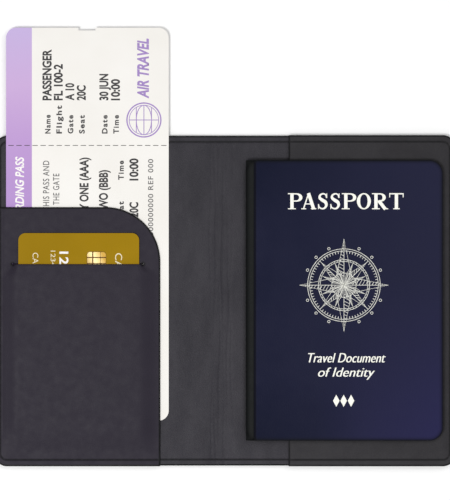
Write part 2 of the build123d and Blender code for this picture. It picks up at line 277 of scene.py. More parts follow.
paper = Nodes("pass_stock", (0.86, 0.82, 0.76), 0.6)
tint = paper.ramp(paper.noise(28, 2), (0.3, (0.81, 0.785, 0.74)), (0.7, (0.85, 0.83, 0.795)))
violet = paper.ramp(
    paper.span(paper.axis(1), 122, 20), (0.0, (0.52, 0.42, 0.70)), (1.0, (0.35, 0.20, 0.535)),
    (0.25, (0.56, 0.38, 0.65)), (0.5, (0.455, 0.27, 0.585)),
)
tone = paper.mix(paper.math("MULTIPLY", paper.noise(16, 2), 0.4), violet, (0.52, 0.35, 0.635))
paper.paint(paper.mix(paper.math("LESS_THAN", paper.axis(0), BAND_RIGHT * MM), tint, tone))
paper.bump(paper.noise(0.35, 3), 0.012)
paper.bump(paper.noise(22, 2), 0.25, 0.4)
PAPER = paper.material

gold = Nodes("card_plastic", (0.30, 0.18, 0.003), 0.4, Specular_IOR_Level=0.05)
gold.color(gold.noise(30, 2), (0.28, 0.165, 0.002), (0.325, 0.192, 0.004))
gold.bump(gold.noise(0.22, 2, stretch=(1, 0.05, 1)), 0.006)
gold.roughness(gold.noise(5), 0.3, 0.42)
GOLD = gold.material

chip = Nodes("chip_contacts", (0.70, 0.46, 0.12), 0.35, Metallic=0.6)
# Painted highlight: the contacts are brightest in a slanted band across their middle
painted_highlight = chip.span(chip.math("ADD", chip.axis(0), chip.math("MULTIPLY", chip.axis(1), 0.4)), -55.5, -46.5)
chip.paint(chip.ramp(painted_highlight, (0.0, (0.36, 0.20, 0.03)), (1.0, (0.52, 0.31, 0.05)), (0.5, (0.95, 0.78, 0.38))))
chip.bump(chip.noise(0.3), 0.01)
CHIP = chip.material
gap = Nodes("chip_gaps", (0.14, 0.06, 0.012), 0.6, Specular_IOR_Level=0.2)
gap.color(gap.noise(0.5), (0.10, 0.045, 0.008), (0.18, 0.08, 0.016))
CHIP_GAP = gap.material

# Painted light on the cover: a painted sheen makes it lighter and bluer to the right and below, and painted
# shade makes it darker to the left and darkest in its left corners, spine, groove and rim
cloth = Nodes("book_cloth", (0.016, 0.018, 0.040), 0.5, Specular_IOR_Level=0.06)
painted_sheen = cloth.math("MULTIPLY", cloth.span(cloth.axis(0), 40, 97), cloth.span(cloth.axis(1), 10, -62), clamp=True)
left_tone = cloth.ramp(
    cloth.noise(26, 3), (0.35, (0.0070, 0.0086, 0.0265)), (0.65, (0.0098, 0.0112, 0.0310))
)
# Painted shade: darker to the left
deep = cloth.mix(cloth.span(cloth.axis(0), 14, 96), left_tone, (0.0150, 0.0158, 0.0410))
sheened = cloth.mix(painted_sheen, deep, (0.0190, 0.0180, 0.0660))
# Painted shade in the left corners
far_up = cloth.span(cloth.math("ABSOLUTE", cloth.axis(1), 0.0), 36, 60)
far_left = cloth.math("MULTIPLY", cloth.math("MULTIPLY", far_up, cloth.span(cloth.axis(0), 62, 14)), 0.75)
corner_shaded = cloth.mix(far_left, sheened, (0.0040, 0.0056, 0.0190))
# Painted shade on the rounded spine, and in the pressed groove beside it
spine_shade = cloth.span(cloth.axis(0), 13.4, 12.8)
spined = cloth.mix(spine_shade, corner_shaded, (0.0095, 0.0105, 0.0105))
off_groove = cloth.math("ABSOLUTE", cloth.math("SUBTRACT", cloth.axis(0), (BEND_X + 0.45) * MM), 0.0)
groove_shaded = cloth.mix(near(cloth, off_groove, 0.75), spined, (0.001, 0.0008, 0.004))
# Painted shade round the cover's rim
cloth.paint(cloth.mix(book_edge(cloth, 5.0, 2.2), groove_shaded, (0.0035, 0.004, 0.0045)))
cloth.roughness(cloth.noise(4), 0.46, 0.58)
cloth.bump(cloth.cells(0.6), 0.05)
cloth.bump(cloth.noise(0.4), 0.03)
CLOTH = cloth.material

foil = Nodes("foil", (0.92, 0.92, 0.82), 0.5)
foil.color(foil.noise(0.9, 3), (0.84, 0.84, 0.74), (0.96, 0.96, 0.89), 0.35, 0.6)
foil.bump(foil.noise(0.5), 0.02)
FOIL = foil.material
fine_foil = Nodes("fine_foil", (0.66, 0.66, 0.60), 0.45)
fine_foil.color(fine_foil.noise(0.7, 3), (0.52, 0.52, 0.47), (0.82, 0.82, 0.75), 0.35, 0.6)
FINE_FOIL = fine_foil.material


def ink(name, color):
    m = Nodes(name, color, 0.7)
    m.color(m.noise(0.6), tuple(c * 0.85 for c in color), tuple(min(1, c * 1.12 + 0.004) for c in color))
    return m.material


INK = ink("dark_ink", (0.030, 0.028, 0.030))
SOFT_INK = ink("grey_ink", (0.045, 0.043, 0.045))
PALE_INK = ink("pale_grey_ink", (0.095, 0.093, 0.093))
VIOLET_INK = ink("violet_ink", (0.34, 0.225, 0.52))
WHITE_INK = ink("white_ink", (0.88, 0.86, 0.84))
CREAM_INK = ink("cream_ink", (0.78, 0.70, 0.50))
HOLE = ink("perforation_shade", (0.035, 0.033, 0.031))


def lined(name, color, roughness, waves, low, high, **inputs):
    """Stock printed all over with fine wavy lines. low and high are (position, colour)."""
    m = Nodes(name, color, roughness, **inputs)
    wave = m.add("ShaderNodeTexWave", **waves)
    m.link(m.place, wave.inputs["Vector"])
    m.paint(m.ramp(wave.outputs["Fac"], low, high))
    return m


leaf = lined(
    "security_paper", (0.80, 0.77, 0.70), 0.75, {"Scale": 180.0, "Distortion": 9.0, "Detail": 1.0},
    (0.1, (0.70, 0.73, 0.72)), (0.9, (0.82, 0.79, 0.72)),
)
leaf.bump(leaf.noise(0.3), 0.012)
LEAF = leaf.material
DATA_PAGE = lined(
    "data_page_plastic", (0.74, 0.76, 0.78), 0.28, {"Scale": 150.0, "Distortion": 14.0, "Detail": 1.5},
    (0.1, (0.60, 0.68, 0.74)), (0.9, (0.80, 0.79, 0.76)), Coat_Weight=0.2,
).material
SIGNATURE = lined(
    "signature_panel", (0.80, 0.80, 0.77), 0.8, {"Scale": 400.0, "Distortion": 0.5},
    (0.2, (0.70, 0.72, 0.74)), (0.8, (0.84, 0.83, 0.80)),
).material

board = Nodes("backing_board", (0.30, 0.26, 0.20), 0.85)
board.color(board.noise(1.5), (0.24, 0.20, 0.15), (0.34, 0.29, 0.22))
board.bump(board.noise(0.5), 0.03)
BOARD = board.material
stripe = Nodes("magnetic_stripe", (0.012, 0.011, 0.011), 0.35)
stripe.color(stripe.noise(0.5, stretch=(1, 0.05, 1)), (0.009, 0.008, 0.008), (0.018, 0.016, 0.015))
STRIPE = stripe.material


# ---------------- mesh tools
def smoothstep(value, low, high):
    t = np.clip((np.asarray(value, float) - low) / (high - low), 0, 1)
    return t * t * (3 - 2 * t)


def make(name, points, faces, materials, marks=None, smooth=True):
    """A mesh object from points in millimetres. marks gives each face's material."""
    mesh = bpy.data.meshes.new(name)
    mesh.from_pydata((np.asarray(points, float) * MM).tolist(), [], [list(map(int, f)) for f in faces])
    for material in materials:
        mesh.materials.append(material)
    if marks is not None:
        mesh.polygons.foreach_set("material_index", np.asarray(marks, np.int32))
    mesh.polygons.foreach_set("use_smooth", np.full(len(mesh.polygons), smooth))
    mesh.update()
    piece = bpy.data.objects.new(name, mesh)
    scene.collection.objects.link(piece)
    return piece


def outline(x0, x1, y0, y1, radii, step=0.8):
    """A rectangle's outline, anticlockwise. radii are bottom left, bottom right, top right, top left."""
    points = []
    corners = ((x0, y0, 1, 1, 180), (x1, y0, -1, 1, 270), (x1, y1, -1, -1, 0), (x0, y1, 1, -1, 90))
    for (x, y, sx, sy, start), r in zip(corners, radii):
        if r <= 0:
            points.append((x, y))
            continue
        n = max(6, int(r * 1.6 / step))
        for a in np.radians(np.linspace(start, start + 90, n + 1)):
            points.append((x + sx * r + r * math.cos(a), y + sy * r + r * math.sin(a)))
    dense = []
    for p, q in zip(points, points[1:] + points[:1]):
        n = max(1, math.ceil(math.dist(p, q) / step))
        for i in range(n):
            dense.append((p[0] + (q[0] - p[0]) * i / n, p[1] + (q[1] - p[1]) * i / n))
    return np.array(dense)


def inset(loop, far):
    """The loop moved inwards by far, with mitred corners."""
    before, after = np.roll(loop, 1, 0), np.roll(loop, -1, 0)
    normals = []
    for edge_vector in (loop - before, after - loop):
        edge_vector = edge_vector / np.linalg.norm(edge_vector, axis=1, keepdims=True)
        normals.append(np.stack([-edge_vector[:, 1], edge_vector[:, 0]], 1))
    middle = normals[0] + normals[1]
    middle /= np.linalg.norm(middle, axis=1, keepdims=True)
    reach = np.maximum((middle * normals[0]).sum(1, keepdims=True), 0.4)
    return loop + middle * (far / reach)


def inside(points, loop):
    """Which points lie inside the loop."""
    hit = np.zeros(len(points), bool)
    px, py = points[:, 0], points[:, 1]
    for (ax, ay), (bx, by) in zip(loop, np.roll(loop, -1, 0)):
        if ay == by:
            continue
        across = (ay > py) != (by > py)
        hit ^= across & (px < (bx - ax) * (py - ay) / (by - ay) + ax)
    return hit


def fill(loops, spacing, lines_x=(), lines_y=()):
    """Triangles inside the first loop and outside the others, over a grid of points.

    lines_x and lines_y list (start, stop, step), where the grid is finer. Returns points and faces."""
    low, high = loops[0].min(0), loops[0].max(0)
    axes = []
    for i, finer in enumerate((lines_x, lines_y)):
        at = np.arange(low[i] + spacing * 0.5, high[i], spacing)
        for start, stop, step in finer:
            at = np.concatenate([at[(at < start) | (at > stop)], np.arange(start, stop + 1e-6, step)])
        axes.append(at)
    grid = np.array(np.meshgrid(*axes)).reshape(2, -1).T
    keep = inside(grid, inset(loops[0], spacing * 0.35))
    for hole in loops[1:]:
        keep &= ~inside(grid, inset(hole, -spacing * 0.35))
    grid = grid[keep]
    points = np.concatenate([*loops, grid])
    edges, start = [], 0
    for loop in loops:
        n = len(loop)
        edges += [(start + i, start + (i + 1) % n) for i in range(n)]
        start += n
    found = delaunay_2d_cdt([Vector(p) for p in points], edges, [], 1, 1e-7)
    source = [origin[0] for origin in found[3]]
    faces = np.array([[source[i] for i in face] for face in found[2]])
    centre = points[faces].mean(1)
    for hole in loops[1:]:
        faces = faces[~inside(centre, hole)]
        centre = points[faces].mean(1)
    a, b, c = (points[faces[:, i]] for i in range(3))
    turn = (b[:, 0] - a[:, 0]) * (c[:, 1] - a[:, 1]) - (b[:, 1] - a[:, 1]) * (c[:, 0] - a[:, 0])
    faces[turn < 0] = faces[turn < 0][:, ::-1]
    return points, faces


PAINTED = 0.72  # how far in from a sheet's edge the paint reaches


def sheet(
    name, loop, top, bottom, upper, lower, spacing, materials, hole=None, hole_side=None, lines_x=(), lines_y=()
):
    """A flat-lying sheet, with the slit as its hole if it has one.

    top and bottom give the height at points. upper and lower list (inset, drop) from the side in, and
    hole_side is such a pair for the hole. The faces of the side take the second material, and so do
    those of the hole near the slit's ends."""
    loops = [loop] + ([hole] if hole is not None else [])
    profiles = [(upper, lower), hole_side]
    last = [(profile[1][-1][0], profile[0][-1][0]) for profile in profiles[: len(loops)]]
    points, faces, marks, ends = [], [], [], []
    count = 0
    for which, base in enumerate(loops):
        above, below = profiles[which]
        rings = [(d, bottom, drop) for d, drop in reversed(below)] + [(d, top, -drop) for d, drop in above]
        n, sign = len(base), 1 if which == 0 else -1
        first = count
        for d, height, drop in rings:
            ring = inset(base, d * sign)
            points.append(np.column_stack([ring, height(ring[:, 0], ring[:, 1]) + drop]))
            count += n
        for k in range(len(rings) - 1):
            edge_face = max(rings[k][0], rings[k + 1][0]) <= PAINTED
            for i in range(n):
                j = (i + 1) % n
                quad = [first + k * n + i, first + k * n + j, first + (k + 1) * n + j, first + (k + 1) * n + i]
                faces.append(quad if which == 0 else quad[::-1])
                at_end = which == 0 or min(abs(base[i][0] - SLIT_LEFT), abs(base[i][0] - SLIT_RIGHT)) < 0.5
                marks.append(1 if edge_face and at_end else 0)
        ends.append((first, first + (len(rings) - 1) * n, n))
    for surface, end, flip in ((top, 1, False), (bottom, 0, True)):
        rims = [inset(base, last[i][end] * (1 if i == 0 else -1)) for i, base in enumerate(loops)]
        flat, triangles = fill(rims, spacing, *((lines_x, lines_y) if end else ()))
        rim_ids = np.concatenate([np.arange(e[end], e[end] + e[2]) for e in ends])
        extra = flat[len(rim_ids):]
        ids = np.concatenate([rim_ids, np.arange(count, count + len(extra))])
        points.append(np.column_stack([extra, surface(extra[:, 0], extra[:, 1])]))
        count += len(extra)
        triangles = ids[triangles]
        if flip:
            triangles = triangles[:, ::-1]
        faces += triangles.tolist()
        marks += [0] * len(triangles)
    return make(name, np.concatenate(points), faces, materials, marks)


def cut(piece, x, keep_right):
    """Cuts a piece at a plane across X and keeps one side."""
    mesh = bmesh.new()
    mesh.from_mesh(piece.data)
    bmesh.ops.bisect_plane(
        mesh, geom=mesh.verts[:] + mesh.edges[:] + mesh.faces[:], dist=1e-7,
        plane_co=(x * MM, 0, 0), plane_no=(-1 if keep_right else 1, 0, 0), clear_outer=True,
    )
    mesh.to_mesh(piece.data)
    mesh.free()
    return piece


def copy_of(piece, name):
    twin = bpy.data.objects.new(name, piece.data.copy())
    scene.collection.objects.link(twin)
    return twin


def level(height):
    return lambda x, y: np.full(np.shape(x), float(height))


# Profiles of a sheet's side
ROUND = [(0.0, 0.36), (0.04, 0.24), (0.14, 0.13), (0.32, 0.05), (0.7, 0.0)]
PANEL_SIDE = [(0.0, 0.3), (0.05, 0.16), (0.16, 0.07), (0.34, 0.02), (0.7, 0.0)]
PANEL_BACK = [(0.0, 0.15), (0.12, 0.0), (0.5, 0.0)]
HIDDEN_SIDE = [(0.0, 0.0), (0.6, 0.0)]
COVER_ROUND = [(0.0, 0.17), (0.02, 0.09), (0.07, 0.03), (0.18, 0.0)]
COVER_BACK = [(0.0, 0.15), (0.1, 0.0)]
SLIT_SIDE = ([(0.0, 0.64), (0.05, 0.3), (0.1, 0.12), (0.2, 0.04), (0.75, 0.0)], [(0.0, 0.0), (0.5, 0.0)])
SEAM_DIP = [
    (SEAM + across, DIP_DEPTH * math.exp(-((across / DIP_WIDTH) ** 2)))
    for across in (-1.5, -0.75, -0.5, -0.28, -0.12, 0.0, 0.12, 0.28, 0.5, 0.75)
]


def bend(piece):
    """Bakes a piece's placement into its mesh."""
    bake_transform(piece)


def halves(piece, left_name, right_name, left_nodes, right_nodes):
    """Splits a piece that covers the open holder at the middle of its fold, and hides the CAD nodes that the
    halves stand for.
    """
    right = cut(copy_of(piece, right_name), 0, True)
    left = cut(piece, 0, False)
    left.name = left_name
    for half, side, stood_for in ((left, -1, left_nodes), (right, 1, right_nodes)):
        bend(half)
        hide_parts(*stood_for)


# ---------------- outer leather and lining
cover_loop = outline(-HALF_WIDTH, HALF_WIDTH, TRIM - HALF_HEIGHT, HALF_HEIGHT - TRIM, [CORNER] * 4, step=0.7)
FOLD_LINES = [(-8.0, 8.0, 0.3)]


def outer_top(x, y):
    """The hidden face, thinner inside the seam to leave room for the backing sheets."""
    inner = np.minimum(HALF_HEIGHT - np.abs(y), HALF_WIDTH - np.abs(x))
    return OUTER_TOP - 0.3 * smoothstep(inner, 3.6, 4.8)


outer = sheet(
    "outer_leather", cover_loop, outer_top, level(0.0), HIDDEN_SIDE, ROUND + SEAM_DIP,
    2.2, [OUTER, EDGE], lines_x=FOLD_LINES,
)
halves(
    outer, "outer_leather_left", "outer_leather_right",
    ["outer_cover_left", "outer_cover_fold"], ["outer_cover_right"],
)

# Creases over the fold: X, width, depth and a phase that sets where each wanders and fades
WRINKLES = [
    (-6.2, 0.4, 0.12, 3.3), (-4.5, 0.45, 0.24, 0.0), (-2.6, 0.4, 0.18, 2.1), (-0.8, 0.38, 0.34, 4.0),
    (1.2, 0.5, 0.2, 1.2), (3.0, 0.45, 0.14, 5.1),
]


def lining_top(x, y):
    """Level leather, pressed into soft upright creases over the fold."""
    z = np.full(np.shape(x), LINING_TOP)
    for centre, width, depth, phase in WRINKLES:
        middle = centre + 0.5 * np.sin(y / 19 + phase) + 0.22 * np.sin(y / 6.1 + 2 * phase)
        strength = depth * (0.5 + 0.5 * np.sin(y / 17 + 1.7 * phase)) + 0.03
        z = z - strength * np.exp(-(((x - middle) / width) ** 2))
    return z


lining = sheet(
    "lining", cover_loop, lining_top, level(LINING_BOTTOM), ROUND + SEAM_DIP, HIDDEN_SIDE,
    1.8, [LINING, EDGE], lines_x=FOLD_LINES,
)
halves(
    lining, "lining_leather_left", "lining_leather_right",
    ["lining_left", "lining_fold"], ["lining_right"],
)


# ---------------- panels
def seam_groove(x, y):
    """The groove's depth on a panel, from the distance to the holder's outline."""
    past_x = np.maximum(np.abs(x) - (HALF_WIDTH - CORNER), 0)
    past_y = np.maximum(np.abs(y) - (HALF_HEIGHT - CORNER), 0)
    return DIP_DEPTH * np.exp(-(((np.hypot(past_x, past_y) - (CORNER - SEAM)) / DIP_WIDTH) ** 2))


# Where a panel's grid is finer, for the groove
GROOVE_BANDS, GROOVE_ROWS = (
    [(2.0 - half, 4.0 - half, 0.2), (half - 4.0, half - 2.0, 0.2)] for half in (HALF_WIDTH, HALF_HEIGHT)
)


def pocket_height(x, y):
    """The pocket panel's face: low at the seam, over the pass, and lifted over the card below the slit."""
    over_pass = smoothstep(x, -99.8, -98.2) * smoothstep(y, -70.2, -56.0)
    drop = smoothstep(SLIT_Y - y, 0, 6)
    rise = smoothstep(x, SLIT_LEFT - 4.4 * drop, SLIT_LEFT + 2.5)
    fall = 1 - smoothstep(x, SLIT_RIGHT - 1.7, SLIT_RIGHT + 7.0 * drop)
    over_card = rise * fall * smoothstep(y, -70.6, -55.4) * (y < SLIT_Y)
    return PANEL_SEAM_TOP + PASS_RAISE * over_pass + CARD_RAISE * over_card - seam_groove(x, y)


def slit_loop():
    """The cut's outline, a hair wide, ending in round relief holes that widen upwards from SLIT_END."""
    upper, lower = [], []
    for x in np.arange(SLIT_LEFT + 0.8, SLIT_RIGHT - 0.7, 0.8):
        upper.append((x, SLIT_Y + SLIT_GAP / 2))
        lower.append((x, SLIT_Y - SLIT_GAP / 2))
    ends = []
    for centre, start in ((SLIT_LEFT, 20), (SLIT_RIGHT, 200)):
        turn = np.radians(np.linspace(start, start + 320, 17))
        ends.append([(centre + SLIT_END * math.cos(a), SLIT_Y + SLIT_END * math.sin(a)) for a in turn])
    left, right = ends
    return np.array(lower + right + upper[::-1] + left)


def under(height):
    """A panel's back face, level where the seam's groove runs."""
    return lambda x, y: height(x, y) + seam_groove(x, y) - PANEL


pocket_loop = outline(-HALF_WIDTH, POCKET_RIGHT, -HALF_HEIGHT, POCKET_HIGH, (CORNER, 0, POCKET_CORNER, 0))
pocket = sheet(
    "pocket_panel_leather", pocket_loop, pocket_height, under(pocket_height), PANEL_SIDE, PANEL_BACK, 1.0,
    [POCKET, EDGE], hole=slit_loop(), hole_side=SLIT_SIDE, lines_x=GROOVE_BANDS[:1], lines_y=GROOVE_ROWS[:1],
)
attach(pocket, "left_half")
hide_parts("left_pocket_panel")


def flap_height(x, y):
    """The flap's face: low at the seam, and lifted over the passport's back cover."""
    over_cover = (1 - smoothstep(x, 97.6, 99.8)) * (1 - smoothstep(np.abs(y), 63.0, 70.0))
    return PANEL_SEAM_TOP + COVER_RAISE * over_cover - seam_groove(x, y)


flap_loop = outline(FLAP_LEFT, HALF_WIDTH, -HALF_HEIGHT, HALF_HEIGHT, (0, CORNER, CORNER, 0))
flap = sheet(
    "flap_panel_leather", flap_loop, flap_height, under(flap_height), PANEL_SIDE, PANEL_BACK, 1.2,
    [FLAP, EDGE], lines_x=GROOVE_BANDS[1:], lines_y=GROOVE_ROWS,
)
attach(flap, "right_half")
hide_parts("right_flap_panel")


# ---------------- seams
def seam_path():
    """Even places along the seam round the holder, with the direction at each."""
    half_x, half_y = HALF_WIDTH - SEAM, HALF_HEIGHT - SEAM
    loop = outline(-half_x, half_x, -half_y, half_y, [CORNER - SEAM] * 4, 0.5)
    closed = np.vstack([loop, loop[:1]])
    length = np.concatenate([[0], np.cumsum(np.linalg.norm(np.diff(closed, axis=0), axis=1))])
    count = round(length[-1] / STITCH_PITCH)
    at = (np.arange(count) + 0.5) * length[-1] / count
    spots, ahead = (
        np.column_stack([np.interp(at + past, length, closed[:, i]) for i in (0, 1)]) for past in (0, 0.2)
    )
    return spots, ahead - spots


def stitch(middle, direction, height, down):
    """One stitch: a plump thread that dives into the leather at both ends. down is -1 on the upper face."""
    direction = direction / np.linalg.norm(direction)
    across = np.array([-direction[1], direction[0]])
    points, faces, sides, steps = [], [], 8, 9
    for k, t in enumerate(np.linspace(-1, 1, steps)):
        girth = THREAD * (1.0 - 0.45 * abs(t) ** 4)
        sink = 0.24 * abs(t) ** 3
        for a in np.arange(sides) * 2 * math.pi / sides:
            flat = middle + direction * (t * STITCH_LENGTH / 2) + across * (girth * math.cos(a))
            points.append((*flat, height + down * (sink - girth * math.sin(a) * 0.8)))
    for k in range(steps - 1):
        for i in range(sides):
            j = (i + 1) % sides
            faces.append([k * sides + i, (k + 1) * sides + i, (k + 1) * sides + j, k * sides + j])
    faces.append(list(range(sides)))
    faces.append([(steps - 1) * sides + i for i in reversed(range(sides))])
    if down > 0:
        faces = [f[::-1] for f in faces]
    return points, faces


def seam_group(x, y):
    """The part of the seam that a place belongs to."""
    if abs(x) < 9:
        return "fold_left" if x < 0 else "fold_right"
    if x < 0:
        return "pocket" if x < POCKET_RIGHT - 1 and y < POCKET_HIGH - 1 else "left"
    return "flap" if x > FLAP_LEFT + 1 else "right"


SEAM_BODY = {"pocket": "left_half", "left": "left_half", "flap": "right_half", "right": "right_half"}
groups = {}
for middle, direction in zip(*seam_path()):
    group = seam_group(*middle)
    face = PANEL_SEAM_TOP if group in ("pocket", "flap") else LINING_TOP
    for side, height, down in (("seam", face - SEAM_SUNK, -1), ("back_seam", BACK_SEAM, 1)):
        name = group if side == "seam" else {"pocket": "left", "flap": "right"}.get(group, group)
        points, faces = groups.setdefault((side, name), ([], []))
        new_points, new_faces = stitch(middle, direction, height, down)
        faces += [[i + len(points) for i in f] for f in new_faces]
        points += new_points
for (side, group), (points, faces) in sorted(groups.items()):
    piece = make(f"{side}_{group}", points, faces, [THREAD_BLACK])
    if group in SEAM_BODY:
        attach(piece, SEAM_BODY[group])
    else:
        bend(piece)
    if side == "seam" and group in SEAM_BODY:
        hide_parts(f"seam_thread_{group}")
    elif side == "seam" and group == "fold_left":
        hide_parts("seam_thread_fold")


# ---------------- print
class Print:
    """Flat shapes gathered into one thin printed layer."""

    def __init__(self, z):
        self.z, self.points, self.faces, self.layer = z, [], [], 0

    def shape(self, points, faces):
        start, self.layer = len(self.points), (self.layer + 1) % LAYERS
        z = self.z + self.layer * LAYER_STEP
        self.points += [(float(x), float(y), z) for x, y in points]
        self.faces += [[start + i for i in f] for f in faces]

    def strip(self, path, widths, closed=False):
        """A line of changing width along a path."""
        path = np.asarray(path, float)
        widths = np.broadcast_to(widths, len(path))
        ahead = np.roll(path, -1, 0) - np.roll(path, 1, 0)
        if not closed:
            ahead[0], ahead[-1] = path[1] - path[0], path[-1] - path[-2]
        ahead /= np.linalg.norm(ahead, axis=1, keepdims=True)
        side = np.stack([-ahead[:, 1], ahead[:, 0]], 1) * widths[:, None] / 2
        n = len(path)
        points = np.concatenate([path - side, path + side])
        pairs = range(n if closed else n - 1)
        self.shape(points, [[i, (i + 1) % n, n + (i + 1) % n, n + i] for i in pairs])

    def ring(self, x, y, rx, ry, width, sides):
        turn = np.arange(sides) * 2 * math.pi / sides
        self.strip(np.column_stack([x + rx * np.cos(turn), y + ry * np.sin(turn)]), width, closed=True)

    def block(self, x0, x1, y0, y1):
        self.shape([(x0, y0), (x1, y0), (x1, y1), (x0, y1)], [[0, 1, 2, 3]])

    def words(self, text, x, y, length, cap, turn=0, weight=0.0, slant=0.0, gap=1.0):
        """Text whose baseline starts at (x, y) and is length long, with capitals cap high."""
        flat, faces = glyphs(text, weight, slant, gap)
        flat = np.column_stack([flat[:, 0] * length, flat[:, 1] * cap])
        a = math.radians(turn)
        spin = np.array([[math.cos(a), math.sin(a)], [-math.sin(a), math.cos(a)]])
        self.shape(flat @ spin + (x, y), faces)

    def lay(self, name, body, material, slot):
        piece = make(name, self.points, self.faces, [material], smooth=False)
        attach(piece, body)
        return piece


CAPITAL = 0.73  # a capital's height in Blender's font
BOLD, MEDIUM = 0.034, 0.014


def glyphs(text, weight, slant, gap):
    """A text's flat faces, scaled to be 1 long with capitals 1 high."""
    curve = bpy.data.curves.new("glyphs", "FONT")
    curve.body, curve.offset, curve.shear, curve.space_character = text, weight, slant, gap
    curve.resolution_u, curve.fill_mode = 4, "FRONT"
    holder = bpy.data.objects.new("glyphs", curve)
    scene.collection.objects.link(holder)
    mesh = bpy.data.meshes.new_from_object(holder.evaluated_get(bpy.context.evaluated_depsgraph_get()))
    flat = np.array([v.co[:2] for v in mesh.vertices])
    faces = [list(p.vertices) for p in mesh.polygons]
    bpy.data.objects.remove(holder)
    bpy.data.meshes.remove(mesh)
    bpy.data.curves.remove(curve)
    flat[:, 0] -= flat[:, 0].min()
    return flat / (flat[:, 0].max(), CAPITAL), faces


# ---------------- CAD nodes that are shown
for name, material in (
    ("boarding_pass_main", PAPER), ("boarding_pass_stub", PAPER), ("card_body", GOLD),
    ("card_magnetic_stripe", STRIPE), ("card_signature_panel", SIGNATURE),
    ("backing_sheet_left", BOARD), ("backing_sheet_right", BOARD), ("passport_sewing_thread", THREAD_BLACK),
):
    nodes[name].data.materials.clear()
    nodes[name].data.materials.append(material)

# ---------------- boarding pass
dark, labels, pale, violet_print, white_print = (Print(PASS_TOP + PRINT_LIFT) for _ in range(5))
for text, x, y, length, cap in (
    ("PASSENGER", -77.8, 89.7, 22.8, 4.0),
    ("FL 100-2", -72.8, 89.7, 16.2, 3.9),
    ("A 10", -67.65, 89.7, 7.7, 3.9),
    ("20C", -62.5, 89.7, 6.7, 3.9),
    ("30 JUN", -52.4, 89.7, 11.8, 3.9),
    ("10:00", -47.2, 89.7, 9.5, 3.9),
    ("CITY ONE (AAA)", -61.25, 34.7, 29.4, 3.95),
    ("CITY TWO (BBB)", -52.55, 28.9, 29.6, 3.95),
    ("10:00", -38.95, 53.8, 9.9, 3.9),
    ("20C", -38.95, 37.4, 6.7, 3.9),
):
    dark.words(text, x, y, length, cap, 90, BOLD)
for text, x, y, length in (
    ("Name", -78.2, 74.8, 8.4),
    ("Flight", -73.1, 74.8, 12.6),
    ("Gate", -68.0, 74.8, 8.3),
    ("Seat", -62.9, 74.8, 8.3),
    ("Date", -52.7, 74.8, 8.3),
    ("Time", -47.6, 74.8, 8.3),
    ("Time", -45.4, 54.1, 8.6),
    ("Seat", -45.4, 36.0, 8.5),
):
    labels.words(text, x, y, length, 2.45, 90, BOLD, gap=1.25)
for text, x, y, length, cap in (
    ("PLEASE SHOW THIS PASS AND", -78.7, 18.2, 44.5, 2.95),
    ("YOUR PAPERS AT THE GATE", -74.2, 17.8, 39.1, 2.9),
    ("0000000000 REF 000", -32.15, 26.9, 36.5, 2.4),
):
    pale.words(text, x, y, length, cap, 90, 0.008, gap=1.1)
white_print.words("BOARDING PASS", -90.1, 32.0, 32.5, 3.9, 90, 0.026, 0.22)
violet_print.words("AIR TRAVEL", -34.3, 90.5, 26.9, 5.1, 90, BOLD, 0.22)
# A plain globe: two rings, a meridian, three lines across and one along
GLOBE_X, GLOBE_Y, GLOBE, LINE = -36.3, 80.9, 6.6, 0.18
for rx, ry, width in ((7.6, 7.6, 0.6), (GLOBE, GLOBE, 0.3), (3.4, GLOBE, 0.36)):
    violet_print.ring(GLOBE_X, GLOBE_Y, rx, ry, width, 48)
for up, reach in ((-3.4, 5.6), (0.0, GLOBE), (3.4, 5.6)):
    violet_print.block(GLOBE_X + up - LINE, GLOBE_X + up + LINE, GLOBE_Y - reach, GLOBE_Y + reach)
violet_print.block(GLOBE_X - GLOBE, GLOBE_X + GLOBE, GLOBE_Y - LINE, GLOBE_Y + LINE)
for layer, name, material in (
    (dark, "dark", INK), (labels, "labels", SOFT_INK), (pale, "small", PALE_INK),
    (white_print, "title", WHITE_INK), (violet_print, "violet", VIOLET_INK),
):
    layer.lay(f"pass_print_{name}", "boarding_pass", material, "pass_stock")

holes = Print(PASS_TOP - 0.02)
for i in range(20):
    x = -61.6 + (i - 9.5) * 3.6
    holes.block(x - 1.2, x + 1.2, 69.35, 69.65)
holes.lay("pass_perforation", "boarding_pass", HOLE, "pass_stock")

# ---------------- bank card
card_print = Print(CARD_TOP + 0.01)
card_print.words("1234 5678 9012 3456", -73.9, 22.0, 63.0, 4.0, -90, 0.022, gap=1.05)
card_print.lay("card_numbers", "bank_card", WHITE_INK, "card_plastic")
card_names = Print(CARD_TOP + 0.01)
card_names.words("1234", -77.9, 22.4, 7.0, 2.2, -90)
card_names.words("CARD HOLDER", -86.0, 21.5, 25.0, 2.7, -90)
card_names.words("CARD", -49.1, 21.3, 13.5, 3.3, -90)
card_names.lay("card_names", "bank_card", CREAM_INK, "card_plastic")

